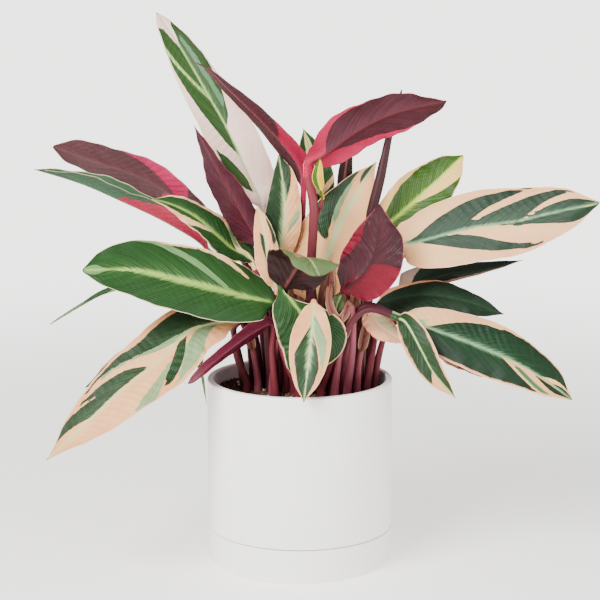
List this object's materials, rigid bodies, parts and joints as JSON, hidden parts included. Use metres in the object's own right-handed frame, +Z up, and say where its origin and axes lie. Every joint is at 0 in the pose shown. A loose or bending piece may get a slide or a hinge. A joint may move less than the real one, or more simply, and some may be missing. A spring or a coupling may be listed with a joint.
{
  "type": "potted stromanthe",
  "caption": "Variegated prayer plant whose pink, cream, green and maroon leaves fan out on slim stalks from a white ceramic cylinder pot that stands in its matching saucer.",
  "frame": {"origin": "centre of the saucer's flat underside, on the surface that it stands on, on the pot's axis", "axes": "+Z up along the pot's axis, -Y towards the viewer of the picture, +X to the viewer's right"},
  "size_m": [0.4383, 0.2275, 0.4389],
  "materials": {
    "ceramic": "satin",
    "potting_soil": "matte",
    "leaf_green": "satin",
    "leaf_blue_green": "satin",
    "leaf_sage": "satin",
    "leaf_cream": "satin",
    "leaf_peach": "satin",
    "leaf_yellow_green": "satin",
    "leaf_maroon": "satin"
  },
  "bodies": {
    "root": {"saucer": "ceramic", "pot": "ceramic", "soil": "potting_soil", "leaf_tall": "leaf_cream", "leaf_narrow_maroon": "leaf_maroon", "leaf_upright_maroon": "leaf_maroon", "leaf_left_maroon": "leaf_maroon", "leaf_left_folded": "leaf_green", "leaf_left_cream": "leaf_cream", "leaf_big_green": "leaf_green", "leaf_left_edge_on": "leaf_green", "leaf_low_left": "leaf_peach", "leaf_low_left_back": "leaf_blue_green", "leaf_low_maroon": "leaf_maroon", "leaf_low_tip": "leaf_green", "leaf_front": "leaf_peach", "leaf_front_green": "leaf_green", "leaf_folded_over": "leaf_sage", "leaf_crimson": "leaf_maroon", "leaf_centre_left": "leaf_cream", "leaf_peach": "leaf_peach", "leaf_centre": "leaf_cream", "leaf_upright_back": "leaf_cream", "leaf_top_maroon": "leaf_maroon", "leaflet": "leaf_yellow_green", "leaf_behind_top": "leaf_green", "spear": "leaf_maroon", "leaf_yellow_green": "leaf_yellow_green", "leaf_big_right": "leaf_cream", "leaf_dark_right": "leaf_blue_green", "leaf_right_upper": "leaf_blue_green", "leaf_right_lower": "leaf_blue_green", "leaf_right_under": "leaf_blue_green", "leaf_hanging": "leaf_sage", "leaf_small_peach": "leaf_peach", "leaf_curled_small": "leaf_sage", "leaf_back_left": "leaf_green", "leaf_back_middle": "leaf_cream", "leaf_back_upright": "leaf_cream", "leaf_back_right": "leaf_peach", "leaf_back_low_right": "leaf_blue_green"}
  },
  "joints": []
}
